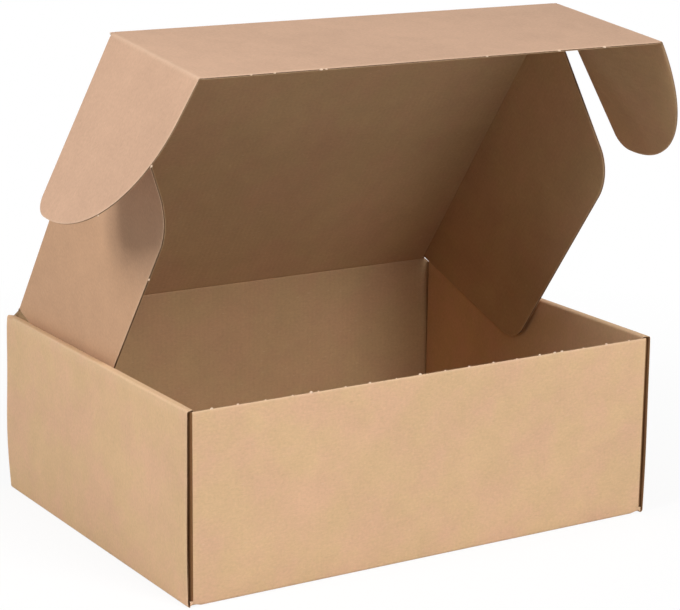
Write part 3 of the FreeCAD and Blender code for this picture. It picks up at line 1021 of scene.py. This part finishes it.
wire(waves, (given, "Geometry", line, "Mesh"), (line, 0, even, "Curve"), (given, "Step", even, "Length"),
     (spot, 0, split, 0), (split, 0, turns, 0), (given, "Pitch", turns, 1), (turns, 0, angle, 0),
     (angle, 0, swing, 0), (swing, 0, lift, 0), (given, "Height", lift, 1), (given, "Middle", lift, 2),
     (lift, 0, rise, "Z"), (even, 0, waved, "Geometry"), (rise, 0, waved, "Offset"),
     (waved, 0, edge, "Curve"), (edge, 0, ribbon, "Mesh"), (inward, "Attribute", ribbon, "Offset"),
     (given, "Depth", ribbon, "Offset Scale"), (ribbon, "Mesh", thick, "Mesh"),
     (given, "Thickness", thick, "Offset Scale"), (ribbon, "Mesh", flipped, "Mesh"),
     (thick, "Mesh", joined, 0), (flipped, 0, joined, 0), (joined, 0, merged, "Geometry"),
     (merged, 0, real, 0), (real, 0, painted, "Geometry"), (given, "Material", painted, "Material"),
     (painted, 0, result, 0))


def grow(name, mesh, tree, values):
    """Runs a node tree over a mesh and hands back the points and faces that it makes."""
    carrier = bpy.data.objects.new(name, mesh)
    bpy.context.scene.collection.objects.link(carrier)
    modifier = carrier.modifiers.new(name, "NODES")
    modifier.node_group = tree
    for item in tree.interface.items_tree:
        if item.in_out == "INPUT" and item.name in values:
            modifier[item.identifier] = values[item.name]
    seen = carrier.evaluated_get(bpy.context.evaluated_depsgraph_get())
    made = bpy.data.meshes.new_from_object(seen)
    points = np.empty(len(made.vertices) * 3)
    made.vertices.foreach_get("co", points)
    faces = [tuple(face.vertices) for face in made.polygons]
    bpy.data.objects.remove(carrier)
    bpy.data.meshes.remove(made)
    return points.reshape(-1, 3), faces


def grown_piece(name, body, parts, material, smooth_below):
    """One mesh for a body, from parts of (points on the blank, faces, place, flat)."""
    placed, spots, faces, count = [], [], [], 0
    for points, part_faces, place, flat in parts:
        placed.append(place(points[:, 0], points[:, 1], points[:, 2]) * mm)
        flat_x, flat_y = flat(points[:, 0], points[:, 1])
        spots.append(np.stack([flat_x, flat_y, points[:, 2]], axis=1) * mm)
        faces += [tuple(i + count for i in face) for face in part_faces]
        count += len(points)
    mesh = bpy.data.meshes.new(name)
    mesh.from_pydata(np.concatenate(placed).tolist(), [], faces)
    mesh.materials.append(material)
    spot = mesh.attributes.new("blank", "FLOAT_VECTOR", "POINT")
    spot.data.foreach_set("vector", np.concatenate(spots).ravel())
    add_piece(name, body, mesh, smooth_below)


def cut_runs(loop):
    """The cut sides of a loop as smooth runs of points, each with its way into the board."""
    count = len(loop)
    xy = np.array([point[:2] for point in loop])
    ways = np.roll(xy, -1, 0) - xy
    ways /= np.linalg.norm(ways, axis=1)[:, None]
    breaks = [not loop[i][2] or not loop[i - 1][2] or ways[i] @ ways[i - 1] < 0.9 for i in range(count)]
    for start in [i for i in range(count) if breaks[i] and loop[i][2]]:
        run, i = [xy[start]], start
        while True:
            i = (i + 1) % count
            run.append(xy[i])
            if breaks[i]:
                break
        run = np.array(run)
        steps = np.diff(run, axis=0)
        lengths = np.linalg.norm(steps, axis=1)
        if lengths.sum() < 1.5:
            continue
        steps /= lengths[:, None]
        run[0] += steps[0] * 0.3
        run[-1] -= steps[-1] * 0.3
        sides = np.stack([-steps[:, 1], steps[:, 0]], axis=1)
        inward = np.concatenate([sides[:1], sides[:-1] + sides[1:], sides[-1:]])
        inward /= np.linalg.norm(inward, axis=1)[:, None]
        yield run + inward * 0.12, inward


wave_parts = {}
for number, (body, loops, place, flat, depth, middle, height) in enumerate(cut_edges):
    points, sides, inwards = [], [], []
    for loop in loops:
        for run, inward in cut_runs(loop):
            sides += [(len(points) + i, len(points) + i + 1) for i in range(len(run) - 1)]
            points += [(x, y, 0.0) for x, y in run]
            inwards += [(x, y, 0.0) for x, y in inward]
    mesh = bpy.data.meshes.new("cut_edge")
    mesh.from_pydata(points, sides, [])
    inward = mesh.attributes.new("inward", "FLOAT_VECTOR", "POINT")
    inward.data.foreach_set("vector", np.array(inwards).ravel())
    made = grow(f"cut_edge_{number}", mesh, waves, {
        "Step": 0.42, "Pitch": flute_pitch, "Height": height, "Middle": middle, "Depth": depth - 0.2,
        "Thickness": 0.12, "Material": wave_paper})
    wave_parts.setdefault(body, []).append((*made, place, flat))
for body, parts in wave_parts.items():
    grown_piece(f"{body}_fluting", body, parts, wave_paper, 40)


# Nicks
# Tufts of torn fibre along the cut edges, where short uncut bridges held the blank in its
# sheet until it was broken out.

torn_fibre = kraft_material("torn_fibre", (0.76, 0.58, 0.42), (0.76, 0.56, 0.42), (0.86, 0.70, 0.54),
                            0.5, 0.0, 0.6, 0.0)
tufts = bpy.data.node_groups.new("torn_nicks", "GeometryNodeTree")
add_sockets(tufts, "INPUT", "Geometry", "Geometry")
add_sockets(tufts, "INPUT", "Float", "Length", "Height", "Thickness", "Raggedness")
add_sockets(tufts, "INPUT", "Int", "Seed")
add_sockets(tufts, "INPUT", "Material", "Material")
add_sockets(tufts, "OUTPUT", "Geometry", "Geometry")
given = add_node(tufts, "NodeGroupInput", (-1400, 0))
result = add_node(tufts, "NodeGroupOutput", (1400, 0))
spots = add_node(tufts, "GeometryNodeMeshToPoints", (-1000, 300))
ball = add_node(tufts, "GeometryNodeMeshIcoSphere", (-1200, -100))
ball.inputs["Radius"].default_value = 1.0
ball.inputs["Subdivisions"].default_value = 3
size = add_node(tufts, "ShaderNodeCombineXYZ", (-1200, -300))
shaped = add_node(tufts, "GeometryNodeTransform", (-1000, -100))
turn = add_node(tufts, "GeometryNodeInputNamedAttribute", (-1000, -450), data_type="FLOAT")
turn.inputs["Name"].default_value = "turn"
facing = add_node(tufts, "ShaderNodeCombineXYZ", (-800, -450))
swell = add_node(tufts, "FunctionNodeRandomValue", (-800, -650), data_type="FLOAT")
swell.inputs[2].default_value = 0.6
swell.inputs[3].default_value = 1.2
placed = add_node(tufts, "GeometryNodeInstanceOnPoints", (-600, 200))
real = add_node(tufts, "GeometryNodeRealizeInstances", (-400, 200))
ragged = add_node(tufts, "ShaderNodeTexNoise", (-400, -100))
ragged.inputs["Scale"].default_value = 2.6
ragged.inputs["Detail"].default_value = 3.0
centred = add_node(tufts, "ShaderNodeVectorMath", (-200, -100), operation="SUBTRACT")
centred.inputs[1].default_value = (0.5, 0.5, 0.5)
push = add_node(tufts, "ShaderNodeVectorMath", (0, -100), operation="SCALE")
torn = add_node(tufts, "GeometryNodeSetPosition", (200, 200))
painted = add_node(tufts, "GeometryNodeSetMaterial", (400, 200))
wire(tufts, (given, "Geometry", spots, "Mesh"), (given, "Length", size, "X"), (given, "Height", size, "Y"),
     (given, "Thickness", size, "Z"), (ball, "Mesh", shaped, "Geometry"), (size, 0, shaped, "Scale"),
     (spots, 0, placed, "Points"), (shaped, 0, placed, "Instance"), (turn, "Attribute", facing, "Z"),
     (facing, 0, placed, "Rotation"), (given, "Seed", swell, "Seed"), (swell, 1, placed, "Scale"),
     (placed, 0, real, 0), (ragged, "Color", centred, 0), (centred, 0, push, 0),
     (given, "Raggedness", push, "Scale"), (real, 0, torn, "Geometry"), (push, 0, torn, "Offset"),
     (torn, 0, painted, "Geometry"), (given, "Material", painted, "Material"), (painted, 0, result, 0))

front_nicks = (-137.5, -122, -105.5, -89, -77.5, -73, -56, -40.5, -23.5, -8,
               8.5, 24.5, 41, 57, 73, 83.5, 88.5, 104, 120.5, 137)
nick_depth = 0.62
tuck_nicks = (-117.5, -104, -76.5, -73.5, 27, 75, 106)
edge_places = {entry[0]: (entry[2], entry[3]) for entry in cut_edges}
nick_sets = (
    ("tray", place_strip, as_cut, [(x, 0.05, math.pi) for x in front_nicks]),
    ("tuck_flap", place_strip, as_cut, [(x, tuck_end - 0.05, 0.0) for x in tuck_nicks]),
    ("left_ear", *edge_places["left_ear"], [(196.1, 760.6, -0.3), (231.5, 736.4, -0.8)]),
    ("left_dust_flap", *edge_places["left_dust_flap"], [(249.2, 584.0, 1.5)]),
)
for number, (body, place, flat, nicks) in enumerate(nick_sets):
    mesh = bpy.data.meshes.new("nicks")
    mesh.from_pydata([(x, y, nick_depth) for x, y, _ in nicks], [], [])
    turn = mesh.attributes.new("turn", "FLOAT", "POINT")
    turn.data.foreach_set("value", [angle for _, _, angle in nicks])
    made = grow(f"{body}_nick_spots", mesh, tufts, {
        "Length": 0.85, "Height": 0.75, "Thickness": 0.42, "Raggedness": 0.55, "Seed": 7 + number,
        "Material": torn_fibre})
    grown_piece(f"{body}_nicks", body, [(*made, place, flat)], torn_fibre, 0)
